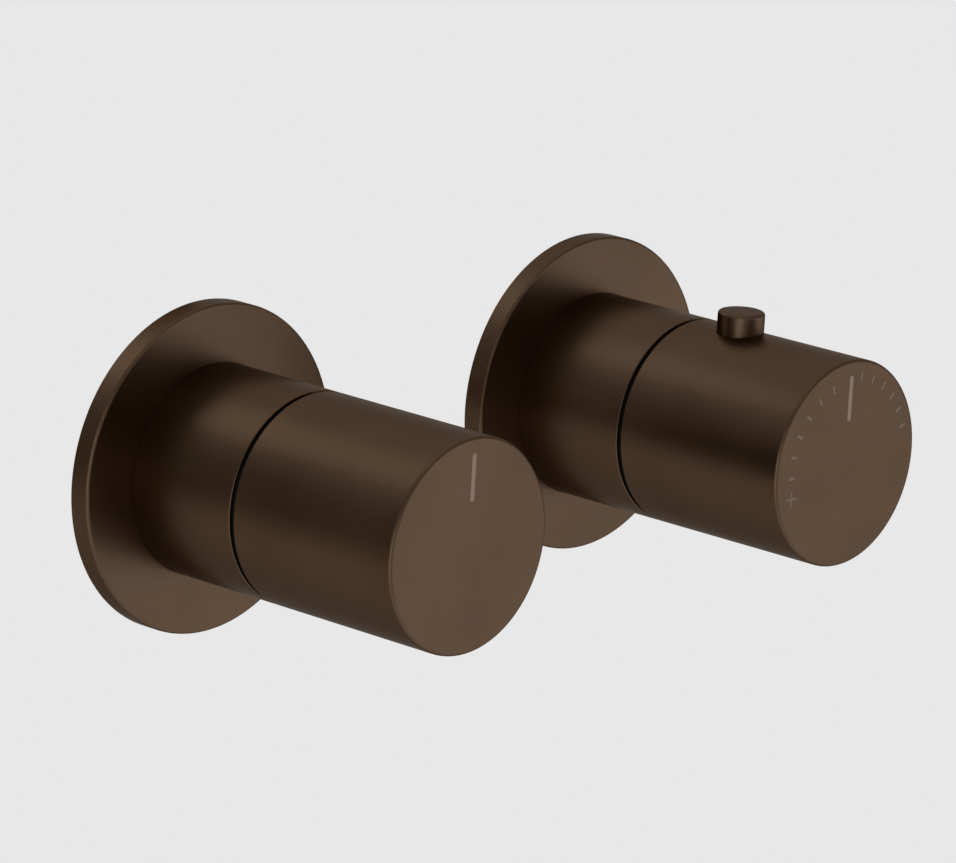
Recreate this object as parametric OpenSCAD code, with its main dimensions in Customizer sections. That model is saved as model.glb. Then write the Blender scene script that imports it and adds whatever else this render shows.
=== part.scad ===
// Concealed thermostatic shower valve with two round controls.
// A brass body sits in the wall and carries a flow headwork on the left and a thermostatic cartridge
// on the right. Each ends in a round wall flange, a fixed sleeve and a turned knob.
// Millimetres, +Z up. The finished wall is the plane Y = 0, the user stands on the -Y side, and the
// origin lies on the wall midway between the two control axes.

/* [Layout] */
// Distance between the two control axes
axis_spacing = 116; // [108:1:150]
// Distance from the wall to the front face of each knob
knob_reach = 78.2; // [76:0.1:90]
// Distance from the wall to the front end of each fixed sleeve
sleeve_reach = 33; // [30:0.5:36]
// Depth of the body behind the wall
body_depth = 70; // [69:0.5:80]

/* [Wall flanges] */
// Outside diameter of each wall flange
flange_d = 70; // [68:1:90]
// Thickness of each wall flange
flange_t = 4.7; // [4.2:0.1:7]
// Rounding of the flange's front edge
flange_edge = 0.6; // [0.2:0.1:1.2]
// Thickness of the rubber gasket behind each flange
gasket_t = 1.2; // [0.8:0.1:1.8]
// Inside diameter of the gasket
gasket_bore_d = 52; // [50:1:56]
// Width of the gasket ring
gasket_w = 6; // [3:0.5:6.5]

/* [Sleeves and knobs] */
// Outside diameter of the knobs and of their fixed sleeves
knob_d = 45; // [44.5:0.5:47]
// Wall of each fixed sleeve
sleeve_wall = 1.9; // [1.6:0.1:2]
// Length of the sleeve's tail behind the face of the wall
sleeve_tail = 4; // [2:0.5:6]
// Width of the dark running gap between sleeve and knob
ring_t = 1; // [0.8:0.1:1.6]
// How far the glide ring's edge stands back from the knob's skin
ring_setback = 0.7; // [0.3:0.1:0.9]
// Length of the glide ring's spigot inside the sleeve
ring_spigot = 4; // [2:0.5:8]
// Wall of the knob around its hub
knob_wall = 2.2; // [1.8:0.1:2.3]
// Wall of the knob's thicker front part
knob_nose_wall = 4; // [3:0.2:5]
// Thickness of the knob's front plate
knob_face_t = 4; // [3:0.5:6]
// Rounding of the knob's front edge
knob_front_edge = 0.8; // [0.3:0.1:1.5]
// Rounding of the edges along the running gap
knob_back_edge = 0.3; // [0.1:0.05:0.6]

/* [Safety button] */
// Diameter of the button's cap
button_d = 10.2; // [9:0.2:10.6]
// Height of the cap's top above the knob's skin
button_rise = 4.5; // [3.5:0.1:6]
// Distance from the knob's back edge to the button's axis
button_inset = 12.5; // [12:0.1:13.4]
// Travel of the button
button_travel = 2.5; // [2.2:0.1:2.5]
// Rounding of the cap's top edge
button_edge = 0.8; // [0.2:0.1:1.5]

/* [Ports] */
// Tapping diameter of the G 1/2 ports
port_bore_d = 18.6; // [18.4:0.1:18.8]
// Depth of the port threads
port_thread = 14; // [12:0.5:15]
// Outside diameter of the port bosses
port_boss_d = 28; // [26:0.5:30]
// Distance from the thermostat axis to each inlet axis
inlet_offset = 34; // [33:0.5:35.5]
// Depth of the inlet axes behind the wall
inlet_y = 34.5; // [33:0.5:36]
// Drop from the control axes to the inlet mouths
inlet_drop = 50; // [48:1:60]
// Rise from the control axes to the outlet mouth
outlet_rise = 46; // [42:1:60]
// Depth of the outlet axis behind the wall
outlet_y = 24; // [23:0.5:25]

/* [Mounting bracket] */
// How far the bracket reaches past each control axis
bracket_overhang = 20; // [16.5:0.5:34]
// Height of the bracket's raised web
bracket_web_h = 44; // [42:1:52]
// Height of each of the two feet
bracket_foot = 14; // [13:0.5:20]
// How far the feet stand back from the web
bracket_step = 8; // [6:0.5:14]
// Sheet thickness of the bracket
bracket_t = 2; // [1.5:0.1:3]
// Distance from each end of the bracket to the middle of its slots
slot_margin = 13; // [8:0.5:22]
// End to end length of each slot
slot_len = 12; // [8:0.5:14]
// Width of each slot
slot_w = 6.6; // [5:0.1:7]

/* [Hidden] */
$fn = 96;

// Clearances shared by mating pieces, and the overrun of every cut
seat_fit = 0.05;
run_fit = 0.08;
seal_fit = 0.03;
glide_gap = 0.1;
over = 1;
hex_sides = 6;

// Cross-section radii of the rubber rings, and the play of their grooves
ring_section = 0.75;
spindle_ring_section = 0.6;
cartridge_ring_section = 0.9;
shuttle_ring_section = 0.7;
groove_play = 0.2;

// Knobs and sleeves
knob_r = knob_d / 2;
sleeve_bore_r = knob_r - sleeve_wall;
knob_bore_r = knob_r - knob_wall;
knob_back = sleeve_reach + ring_t + glide_gap;
neck_play = 0.3;
neck_r = sleeve_bore_r - neck_play;
neck_front = 12;
neck_back = -8;
neck_ring_z = 7;
flange_r = flange_d / 2;
flange_ring_z = flange_t / 2;
ring_bore_r = knob_r - sleeve_wall - 1.7 * ring_section;

// Hubs inside the knobs, with the button's axis as their middle
button_z = knob_back + button_inset;
hub_set_back = 5.3;
hub_back = button_z - hub_set_back;
hub_len = 14.5;
hub_front = hub_back + hub_len;
hub_r = knob_bore_r - seat_fit;
hub_rim = 2.6;
hub_boss_r = 8;
hub_web = 3;
hub_rib = 1.8;
hub_rib_count = 6;
spline_r = 4;
spline_depth = 0.5;
spline_teeth = 20;
spline_len = 10;
neck_core_r = 3.1;
hub_floor = hub_back + spline_len;
hub_screw_web = 1.6;
hub_screw_r = 2;
hub_screw_head_r = 4;
hub_screw_head = 2.4;
hub_screw_grip = 9;
head_edge = 0.3;
screw_drive_r = 1.6;
screw_drive_depth = 1.3;
grub_r = 2;
grub_recess = 0.7;
grub_len = 5.2;
grub_drive_r = 1.15;
grub_drive_depth = 2;

// Button inside the temperature knob: a cap, a collar that keeps it in, a dog and a guide stem
button_r = button_d / 2;
button_top = knob_r + button_rise;
collar_margin = 1.1;
collar_r = button_r + collar_margin;
collar_gap = 0.2;
collar_top = sqrt(knob_bore_r * knob_bore_r - collar_r * collar_r) - collar_gap;
collar_t = 1.5;
collar_bottom = collar_top - collar_t;
collar_play = 0.3;
dog_w = 1.2;
dog_len = 1.2;
stem_r = 2;
stem_len = 7.4;
peg_r = 2.4;
peg_len = 3.4;
spring_well_r = 4.2;
spring_block = 3.7;
spring_well_floor = collar_bottom - button_travel - spring_block;
pocket_floor = collar_bottom - button_travel - collar_play;
guide_floor = collar_bottom - stem_len - button_travel - collar_play;
pocket_wall = 1.6;
button_wire = 0.3;
button_coil_r = 3.1;
button_turns = 4;

// Stop ring on the cartridge head, whose lug meets the button's dog
stop_ring_t = 2;
stop_ring_inset = 1.4;
stop_ring_margin = 0.9;
stop_ring_z = knob_back + stop_ring_inset;
stop_ring_r = knob_bore_r - stop_ring_margin;
lug_end_gap = 0.3;
lug_tip = button_z - collar_r - lug_end_gap;
lug_w = 1.2;
lug_gap = 0.1;
lug_pass = 0.35;
lug_inner_r = collar_top - button_travel + lug_pass;
head_spline_r = 9;
head_spline_teeth = 24;
head_spline_depth = 0.6;
clip_t = 0.8;
clip_bite = 0.9;
clip_rise = 1.2;
clip_mouth = 5;

// Flow headwork in the left housing, by distance from the wall (negative behind it)
seat_z = -36;
seat_bore_r = 6;
seat_socket = 3;
headwork_r = 9.2;
headwork_bore_r = 8.7;
headwork_thread_r = 10.4;
headwork_thread_back = -14.5;
hex_floor = -4.9;
washer_t = 1;
hex_t = 6.9;
headwork_hex = 24;
headwork_neck_r = 7;
headwork_front = 14;
seal_t = 1.5;
seal_bore_r = 5.6;
disc_t = 3.5;
disc_r = headwork_bore_r - run_fit;
disc_port_angle = 80;
disc_port_in = 2.4;
disc_port_out = 7;
tang_w = 4.6;
tang_bite = 1.5;
tang_len = 14.4;
tang_top = 3.4;
window_w = 9;
window_h = 6;
journal_r = 5;
thrust_r = 7.4;
thrust_t = 2;
stop_zone = 2.6;
stop_out_r = 8.5;
stop_pass = 0.1;
flow_turn = 90;
flow_stop_angle = 100;
stop_margin = 2;
flow_ring_stations = [-10, -4];
spindle_thrust_z = -17;
flow_spline_front = 24;
chamber_r = 13.5;
chamber_front = -15;
counterbore_r = 15;
extension_r = 6;
extension_socket_r = 7;
extension_socket_front = 26;
socket_depth_gap = 0.5;
grub3_r = 1.5;
grub3_z = 19;
grub3_drive_r = 0.85;
grub3_len = 2.6;
shoulder_r = 4.6;
shoulder_gap = 1.8;

// Thermostatic cartridge in the right housing
cartridge_bore_r = 15;
cartridge_r = cartridge_bore_r - run_fit;
cartridge_rest_r = 13;
cartridge_back = -50;
cartridge_front = -2.1;
head_flange_t = 5;
head_flange_back = -2;
guide_bore_r = 10.45;
port_groove_r = 12.4;
hot_seat_z = -42;
cold_seat_z = -27;
seat_inner_r = 9;
seat_lip = 2.5;
groove_span = 2.5;
spring_seat_z = -48.5;
spring_seat_r = 6;
cartridge_port_r = 1.9;
cartridge_port_count = 6;
back_ring_inset = 2.4;
front_ring_z = -19;
cartridge_ring_stations = [cartridge_back + back_ring_inset, (hot_seat_z + cold_seat_z) / 2, front_ring_z];
gallery_r = 17.5;
hot_gallery = [-45.5, -38.5];
cold_gallery = [-31.5, -23];
nut_thread_r = 17;
nut_bore_r = 11.5;
nut_thread_len = 5.9;
nut_hex = 29;
nut_hex_len = 7;
head_column_r = 10;
head_column_front = stop_ring_z;
head_skirt_r = guide_bore_r - seat_fit;
hex_bore = 15;
hex_bore_back = -16;
hex_play = 0.2;
collar_cavity_back = -7;
collar_cavity_front = -3;
collar_cavity_r = 7.45;
spindle_collar_r = 6.3;
spindle_lug_r = 7.2;
temperature_turn = 210;
temperature_hot = 90;
spindle_lug_angle = 50;
thread_r = 4;
thread_end = -14.5;
temperature_ring_stations = [8, 14];
nut_front = -8;
nut_cup_z = -15;
nut_cup_r = 5.6;
nut_lip_r = 4.8;
nut_back = -21.6;
nut_lip_t = 0.7;
cap_t = 1.2;
overload_wire = 0.4;
overload_coil_r = 4.6;
overload_turns = 3;
pin_r = 1.6;
pin_back = -25;
guide_r = 3.2;
element_flange_r = 5.8;
element_flange_front = -31;
element_flange_t = 2;
bulb_r = 4.3;
bulb_back = -47;
shuttle_r = guide_bore_r - run_fit;
shuttle_bore_r = 8.9;
hot_opening = 0.8;
cold_opening = 0.7;
shuttle_web_t = 2.4;
web_port_r = 1.4;
web_port_count = 6;
bulb_hole_r = 4.45;
return_wire = 0.6;
return_coil_r = 6.9;
return_turns = 5;

// Water ways of the body
mixed_set_back = 14;
mixed_y = body_depth - mixed_set_back;
mixed_z = 6;
tube_r = 9;
tube_bore_r = 5.5;
inlet_z = -8;
inlet_tube_r = 9.5;
hot_y = -(hot_gallery[0] + hot_gallery[1]) / 2;
cold_y = -(cold_gallery[0] + cold_gallery[1]) / 2;
inlet_bore_r = 6.5;
check_bore_r = 8.6;
check_bore_len = 13;
outlet_bore_r = 7;
outlet_boss_d = 27;
port_bead = 7;
boss_edge = 3;
port_bead_rise = 1;
housing_r = 22.5;
flow_housing_r = 21;
flow_tail_r = 17;
flow_waist = [-42, -47];
rear_wall = 8;
chamber_depth = body_depth - rear_wall;
rear_chamber_r = 9;
rear_chamber_front = -46;
screw_offset = 11.5;
bracket_w = axis_spacing + 2 * bracket_overhang;
slot_spacing = bracket_w - 2 * slot_margin;
m5_r = 2.45;
m5_head_r = 4.25;
m5_head = 3.4;
m5_bite = 5.5;
m5_hole_r = 2.75;
m5_drive_r = 2.3;
m5_drive_depth = 2.4;
rib_t = 5;

// Check valves, with flow upwards from the seat
cage_r = check_bore_r - seat_fit;
cage_len = 12.6;
cage_bore_r = 7.3;
cage_seat_t = 2.6;
cage_seat_r = 5.2;
poppet_r = 6.4;
poppet_t = 1.4;
poppet_stem_r = 1.4;
poppet_stem_len = 9.2;
cage_hub_r = 3;
cage_hub_t = 2.4;
cage_set_down = 0.3;
cage_leg_w = 1.4;
cage_leg_count = 3;
check_wire = 0.25;
check_coil_r = 2.4;
check_turns = 4;
filter_seat_r = 9;
filter_t = 1.2;
filter_rim = 1.4;
filter_web = 0.5;
filter_hole_r = 0.55;
filter_pitch = 1.7;
filter_rings = 3;

// Helpers

// Places a piece on a control axis: its own +Z then points from the wall to the user, and +Y up
module on_axis(x) {
    translate([x, 0, 0])
        rotate([90, 0, 0])
            children();
}

module rod(r, from, to) {
    translate([0, 0, from])
        cylinder(r = r, h = to - from);
}

module tube(r_out, r_in, from, to) {
    difference() {
        rod(r_out, from, to);
        rod(r_in, from - over, to + over);
    }
}

// Hexagonal bar of the given width across its flats
module hex_bar(flats, from, to) {
    translate([0, 0, from])
        cylinder(r = flats / 2 / cos(180 / hex_sides), h = to - from, $fn = hex_sides);
}

// Rubber ring of round section about the axis
module o_ring(r, section, z) {
    translate([0, 0, z])
        rotate_extrude()
            translate([r, 0])
                circle(r = section, $fn = 32);
}

// Groove for such a ring, cut from the outside of a shaft down to the given floor
module outer_groove(floor_r, top_r, section, z) {
    half = section + groove_play / 2;
    tube(top_r + over, floor_r, z - half, z + half);
}

// Cylinder with one rounded rim at its far end, and one at its near end
module rounded_rod(r, from, to, near_edge, far_edge) {
    h = to - from;
    translate([0, 0, from])
        rotate_extrude()
            union() {
                square([r - max(near_edge, far_edge), h]);
                translate([0, near_edge])
                    square([r, h - near_edge - far_edge]);
                if (near_edge > 0)
                    translate([r - near_edge, near_edge])
                        circle(r = near_edge);
                if (far_edge > 0)
                    translate([r - far_edge, h - far_edge])
                        circle(r = far_edge);
                square([r - near_edge, h / 2]);
                translate([0, h / 2])
                    square([r - far_edge, h / 2]);
            }
}

// Sector of a ring between two radii, from one angle to another
module ring_sector(r_in, r_out, start, angle, from, to) {
    translate([0, 0, from])
        rotate([0, 0, start])
            rotate_extrude(angle = angle)
                translate([r_in, 0])
                    square([r_out - r_in, to - from]);
}

function spline_outline(r, teeth, depth) = [
    for (i = [0 : 2 * teeth - 1])
        (i % 2 == 0 ? r : r - depth) * [cos(180 * i / teeth), sin(180 * i / teeth)]
];

module spline_bar(r, teeth, depth, from, to) {
    translate([0, 0, from])
        linear_extrude(height = to - from)
            polygon(spline_outline(r, teeth, depth));
}

// Compression spring as one tube along a helix, between two seats
function coil_ring(coil_r, wire_r, angle, z, sides) = [
    for (k = [0 : sides - 1])
        let (a = 360 * k / sides)
            [(coil_r + wire_r * cos(a)) * cos(angle), (coil_r + wire_r * cos(a)) * sin(angle),
             z + wire_r * sin(a)]
];

module spring(coil_r, wire_r, turns, from, to) {
    sides = 6;
    steps = 8 * turns;
    rise = (to - from - 2 * wire_r) / steps;
    pts = [
        for (i = [0 : steps])
            each coil_ring(coil_r, wire_r, 360 * i / 8, from + wire_r + i * rise, sides)
    ];
    skin = [
        for (i = [0 : steps - 1], k = [0 : sides - 1])
            let (a = i * sides + k, b = i * sides + (k + 1) % sides)
                each [[a, a + sides, b], [b, a + sides, b + sides]]
    ];
    caps = [
        [for (k = [0 : sides - 1]) k],
        [for (k = [sides - 1 : -1 : 0]) steps * sides + k]
    ];
    echo("gap between turns", 8 * rise - 2 * wire_r);
    polyhedron(points = pts, faces = concat(skin, caps));
}

// Wall flange, gasket, sleeve, rings and seals, the same on both sides

module flange_shape() {
    ring_floor = knob_r + seal_fit + 2 * ring_section + seal_fit;
    half = ring_section + groove_play / 2;
    difference() {
        rounded_rod(flange_r, 0, flange_t, 0, flange_edge);
        rod(knob_r + seat_fit, -over, flange_t + over);
        tube(gasket_bore_d / 2 + gasket_w + seat_fit, gasket_bore_d / 2 - seat_fit, -over, gasket_t);
        rod(ring_floor, flange_ring_z - half, flange_ring_z + half);
    }
}

module gasket_shape() {
    tube(gasket_bore_d / 2 + gasket_w, gasket_bore_d / 2, 0, gasket_t);
}

module sleeve_shape() {
    difference() {
        rounded_rod(knob_r, -sleeve_tail, sleeve_reach, 0, knob_back_edge);
        rod(sleeve_bore_r, -sleeve_tail - over, sleeve_reach + over);
    }
}

module sleeve_seal_pair() {
    o_ring(sleeve_bore_r - seal_fit - ring_section, ring_section, neck_ring_z);
    o_ring(knob_r + seal_fit + ring_section, ring_section, flange_ring_z);
}

// L-shaped plastic ring: a spigot in the sleeve and the dark collar that the knob turns against
module glide_ring_shape() {
    spigot_r = sleeve_bore_r - seat_fit;
    difference() {
        union() {
            rod(spigot_r, sleeve_reach - ring_spigot, sleeve_reach + ring_t);
            rod(knob_r - ring_setback, sleeve_reach, sleeve_reach + ring_t);
        }
        rod(ring_bore_r, sleeve_reach - ring_spigot - over, sleeve_reach + ring_t + over);
    }
}

// Knobs, hubs and their screws

module knob_shell() {
    grub_hole_r = grub_r + seat_fit;
    difference() {
        rounded_rod(knob_r, knob_back, knob_reach, knob_back_edge, knob_front_edge);
        rod(knob_bore_r, knob_back - over, hub_front + seat_fit);
        rod(knob_r - knob_nose_wall, knob_back, knob_reach - knob_face_t);
        translate([0, 0, button_z])
            rotate([90, 0, 0])
                rod(grub_hole_r, knob_bore_r - over, knob_r + over);
    }
}

module hub_shape(with_button) {
    hole_r = hub_screw_r + seat_fit;
    difference() {
        union() {
            tube(hub_r, hub_r - hub_rim, hub_back, hub_front);
            rod(hub_boss_r, hub_back, hub_front);
            tube(hub_r - hub_rim / 2, hub_boss_r / 2, hub_front - hub_web, hub_front);
            for (i = [0 : hub_rib_count - 1])
                rotate([0, 0, 360 * i / hub_rib_count])
                    translate([hub_boss_r / 2, -hub_rib / 2, hub_back + hub_rib])
                        cube([hub_r - hub_rim / 2 - hub_boss_r / 2, hub_rib, hub_len - 2 * hub_rib]);
            grub_pad();
            if (with_button)
                button_pad();
        }
        spline_bar(spline_r + seat_fit, spline_teeth, spline_depth, hub_back - over, hub_floor);
        rod(hole_r, hub_back, hub_front + over);
        rod(hub_screw_head_r + seat_fit, hub_floor + hub_screw_web, hub_front + over);
        grub_pocket();
        if (with_button)
            button_pocket();
    }
}

// Solid pad under the grub screw, between boss and rim
module grub_pad() {
    pad = 2 * grub_r + hub_rim;
    translate([-pad / 2, hub_rim - hub_r, hub_back])
        cube([pad, hub_r - hub_rim - hub_boss_r / 2, hub_len]);
}

module grub_pocket() {
    tip = knob_r - grub_recess - grub_len;
    translate([0, 0, button_z])
        rotate([90, 0, 0])
            rod(grub_r + seat_fit, tip - seat_fit, hub_r + over);
}

// Solid block round the button's pocket
module button_pad() {
    pad = 2 * (collar_r + collar_play + pocket_wall);
    intersection() {
        translate([-pad / 2, 0, hub_back])
            cube([pad, hub_r, hub_len]);
        rod(hub_r, hub_back, hub_front);
    }
}

module button_pocket() {
    translate([0, 0, button_z])
        rotate([-90, 0, 0]) {
            rod(collar_r + collar_play, pocket_floor, knob_r);
            rod(spring_well_r, spring_well_floor, knob_r);
            rod(stem_r + run_fit, guide_floor, knob_r);
        }
}

module hub_screw_shape() {
    seat = hub_floor + hub_screw_web;
    difference() {
        union() {
            rod(hub_screw_r, seat - hub_screw_grip, seat + hub_screw_head / 2);
            rounded_rod(hub_screw_head_r, seat, seat + hub_screw_head, 0, head_edge);
        }
        translate([0, 0, seat + hub_screw_head - screw_drive_depth])
            cylinder(r = screw_drive_r, h = screw_drive_depth + over, $fn = hex_sides);
    }
}

module grub_screw_shape() {
    top = knob_r - grub_recess;
    translate([0, 0, button_z])
        rotate([90, 0, 0])
            difference() {
                rod(grub_r, top - grub_len, top);
                translate([0, 0, top - grub_drive_depth])
                    cylinder(r = grub_drive_r, h = grub_drive_depth + over, $fn = hex_sides);
            }
}

// Splined end that carries a hub, with the tapped hole for the hub's screw
module spindle_nose(root_z) {
    difference() {
        union() {
            rod(shoulder_r, root_z, hub_back - shoulder_gap);
            rod(neck_core_r, hub_back - shoulder_gap - over, hub_back);
            spline_bar(spline_r, spline_teeth, spline_depth, hub_back - shoulder_gap / 2,
                       hub_floor - seat_fit);
        }
        rod(hub_screw_r + seat_fit, hub_floor + hub_screw_web - hub_screw_grip - over, hub_floor + over);
    }
}

// Body

module valve_body() {
    flow_x = -axis_spacing / 2;
    temp_x = axis_spacing / 2;
    color("darkgoldenrod")
        difference() {
            union() {
                on_axis(flow_x) flow_housing();
                on_axis(temp_x) thermostat_housing();
                translate([flow_x, mixed_y, mixed_z])
                    rotate([0, 90, 0])
                        rod(tube_r, 0, axis_spacing);
                translate([flow_x, mixed_y - rib_t / 2, -flow_tail_r / 2])
                    cube([axis_spacing, rib_t, flow_tail_r / 2 + mixed_z]);
                inlet_boss(temp_x - inlet_offset, hot_y, 1);
                inlet_boss(temp_x + inlet_offset, cold_y, -1);
                outlet_boss(flow_x);
            }
            on_axis(flow_x) flow_bores();
            on_axis(temp_x) thermostat_bores();
            translate([flow_x, mixed_y, mixed_z])
                rotate([0, 90, 0])
                    rod(tube_bore_r, 0, axis_spacing);
            inlet_bores(temp_x - inlet_offset, hot_y, 1);
            inlet_bores(temp_x + inlet_offset, cold_y, -1);
            outlet_bores(flow_x);
            for (x = [flow_x, temp_x], side = [-1, 1])
                translate([x + side * screw_offset, body_depth + over, 0])
                    rotate([90, 0, 0])
                        cylinder(r = m5_r + seat_fit, h = over + m5_bite + over / 2);
        }
}

module flow_housing() {
    rotate_extrude()
        polygon([
            [0, -body_depth], [flow_tail_r, -body_depth], [flow_tail_r, flow_waist[1]],
            [flow_housing_r, flow_waist[0]], [flow_housing_r, neck_back], [neck_r, neck_back],
            [neck_r, neck_front], [0, neck_front]
        ]);
}

module thermostat_housing() {
    rotate_extrude()
        polygon([
            [0, -body_depth], [housing_r, -body_depth], [housing_r, neck_back], [neck_r, neck_back],
            [neck_r, neck_front], [0, neck_front]
        ]);
}

module neck_groove() {
    floor_r = sleeve_bore_r - 2 * seal_fit - 2 * ring_section;
    outer_groove(floor_r, neck_r, ring_section, neck_ring_z);
}

module flow_bores() {
    rotate_extrude()
        polygon([
            [0, -chamber_depth], [rear_chamber_r, -chamber_depth], [rear_chamber_r, rear_chamber_front],
            [seat_bore_r, rear_chamber_front], [seat_bore_r, seat_z], [headwork_r + seat_fit, seat_z],
            [headwork_r + seat_fit, seat_z + seat_socket], [chamber_r, seat_z + seat_socket],
            [chamber_r, chamber_front], [headwork_thread_r + seat_fit, chamber_front],
            [headwork_thread_r + seat_fit, hex_floor], [counterbore_r, hex_floor],
            [counterbore_r, neck_front + over], [0, neck_front + over]
        ]);
    neck_groove();
}

module thermostat_bores() {
    nut_seat = head_flange_back + head_flange_t - run_fit;
    rotate_extrude()
        polygon([
            [0, -chamber_depth], [cartridge_rest_r, -chamber_depth],
            [cartridge_rest_r, cartridge_back], [cartridge_bore_r, cartridge_back],
            [cartridge_bore_r, hot_gallery[0]], [gallery_r, hot_gallery[0]],
            [gallery_r, hot_gallery[1]], [cartridge_bore_r, hot_gallery[1]],
            [cartridge_bore_r, cold_gallery[0]], [gallery_r, cold_gallery[0]],
            [gallery_r, cold_gallery[1]], [cartridge_bore_r, cold_gallery[1]],
            [cartridge_bore_r, nut_seat], [nut_thread_r + seat_fit, nut_seat],
            [nut_thread_r + seat_fit, neck_front + over], [0, neck_front + over]
        ]);
    neck_groove();
}

// Vertical boss of an inlet and the short tube from it to the cartridge's gallery
module inlet_boss(x, gallery_y, side) {
    boss_r = port_boss_d / 2;
    translate([x, inlet_y, 0]) {
        rod(boss_r - port_bead_rise, -inlet_drop + port_bead / 2, inlet_z + inlet_tube_r);
        translate([0, 0, inlet_z + inlet_tube_r])
            cylinder(r1 = boss_r - port_bead_rise, r2 = boss_r - port_bead_rise - boss_edge, h = boss_edge);
        rod(boss_r, -inlet_drop, -inlet_drop + port_bead);
    }
    translate([x, gallery_y, inlet_z])
        rotate([0, side * 90, 0]) {
            sphere(r = inlet_tube_r);
            rod(inlet_tube_r, 0, inlet_offset);
        }
}

module inlet_bores(x, gallery_y, side) {
    thread_top = -inlet_drop + port_thread;
    translate([x, inlet_y, 0]) {
        rod(port_bore_d / 2, -inlet_drop - over, thread_top);
        rod(filter_seat_r, thread_top - over, thread_top + filter_t);
        rod(check_bore_r, thread_top + filter_t / 2, thread_top + filter_t + check_bore_len);
        rod(inlet_bore_r, thread_top, inlet_z + tube_bore_r);
    }
    translate([x, gallery_y, inlet_z])
        rotate([0, side * 90, 0])
            rod(tube_bore_r, 0, inlet_offset - cartridge_bore_r - neck_play);
}

module outlet_boss(x) {
    boss_r = outlet_boss_d / 2;
    translate([x, outlet_y, 0]) {
        rod(boss_r - port_bead_rise, 0, outlet_rise - port_bead / 2);
        rod(boss_r, outlet_rise - port_bead, outlet_rise);
    }
}

module outlet_bores(x) {
    translate([x, outlet_y, 0]) {
        rod(outlet_bore_r, 0, outlet_rise);
        rod(port_bore_d / 2, outlet_rise - port_thread, outlet_rise + over);
    }
}

// Pressed steel bracket: a raised web behind the body and a slotted foot above and below it
module mounting_bracket() {
    top = bracket_web_h / 2;
    reach = bracket_step + bracket_t;
    color("lightsteelblue")
        translate([0, body_depth, 0])
            difference() {
                union() {
                    translate([-bracket_w / 2, 0, -top])
                        cube([bracket_w, bracket_t, bracket_web_h]);
                    for (side = [-1, 1]) {
                        translate([-bracket_w / 2, 0, side * (top - bracket_t / 2) - bracket_t / 2])
                            cube([bracket_w, reach, bracket_t]);
                        translate([-bracket_w / 2, bracket_step,
                                   side * (top + bracket_foot / 2 - bracket_t / 2)
                                   - bracket_foot / 2 - bracket_t / 2])
                            cube([bracket_w, bracket_t, bracket_foot + bracket_t]);
                    }
                }
                for (x = [-axis_spacing / 2, axis_spacing / 2], side = [-1, 1])
                    translate([x + side * screw_offset, bracket_t + over, 0])
                        rotate([90, 0, 0])
                            cylinder(r = m5_hole_r, h = bracket_t + 2 * over);
                for (x = [-1, 1], z = [-1, 1])
                    translate([x * slot_spacing / 2, reach + over, z * (top + bracket_foot / 2)])
                        rotate([90, 0, 0])
                            slot(slot_len, slot_w, bracket_t + 2 * over);
            }
}

module slot(length, width, depth) {
    run = length - width;
    translate([-run / 2, -width / 2, 0])
        cube([run, width, depth]);
    for (x = [-1, 1])
        translate([x * run / 2, 0, 0])
            cylinder(r = width / 2, h = depth);
}

module bracket_screws() {
    color("silver")
        for (x = [-axis_spacing / 2, axis_spacing / 2], side = [-1, 1])
            translate([x + side * screw_offset, body_depth + bracket_t, 0])
                rotate([-90, 0, 0])
                    difference() {
                        union() {
                            rod(m5_r, -bracket_t - m5_bite, m5_head / 2);
                            rounded_rod(m5_head_r, 0, m5_head, 0, head_edge);
                        }
                        translate([0, 0, m5_head - m5_drive_depth])
                            cylinder(r = m5_drive_r, h = m5_drive_depth + over, $fn = hex_sides);
                    }
}

// Inlet fittings

module at_inlet(side) {
    x = axis_spacing / 2 + side * inlet_offset;
    translate([x, inlet_y, -inlet_drop + port_thread + filter_t])
        children();
}

module check_cage_shape() {
    top = cage_len;
    groove_floor = check_bore_r - 2 * seal_fit - 2 * ring_section;
    groove_back = cage_seat_t / 2 - ring_section - groove_play / 2;
    groove_front = cage_seat_t / 2 + ring_section + groove_play / 2;
    difference() {
        union() {
            rotate_extrude()
                polygon([
                    [cage_seat_r, 0], [cage_r, 0], [cage_r, groove_back], [groove_floor, groove_back],
                    [groove_floor, groove_front], [cage_r, groove_front], [cage_r, top],
                    [cage_bore_r, top], [cage_bore_r, cage_seat_t], [cage_seat_r, cage_seat_t]
                ]);
            rod(cage_hub_r, top - cage_hub_t, top - cage_set_down);
            for (i = [0 : cage_leg_count - 1])
                rotate([0, 0, 360 * (i + 1 / 2) / cage_leg_count])
                    translate([cage_hub_r / 2, -cage_leg_w / 2, top - cage_hub_t + cage_set_down])
                        cube([(cage_bore_r + cage_r - cage_hub_r) / 2, cage_leg_w, cage_hub_t - 3 * cage_set_down]);
        }
        rod(poppet_stem_r + run_fit, cage_seat_t + over, top + over);
    }
}

module check_poppet_shape() {
    rounded_rod(poppet_r, cage_seat_t, cage_seat_t + poppet_t, 0, check_wire);
    rod(poppet_stem_r, cage_seat_t + poppet_t / 2, cage_seat_t + poppet_stem_len);
}

module check_spring_shape() {
    spring(check_coil_r, check_wire, check_turns, cage_seat_t + poppet_t, cage_len - cage_hub_t);
}

module check_valve_seals() {
    color("black")
        for (side = [-1, 1])
            at_inlet(side)
                o_ring(check_bore_r - seal_fit - ring_section, ring_section, cage_seat_t / 2);
}

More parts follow.
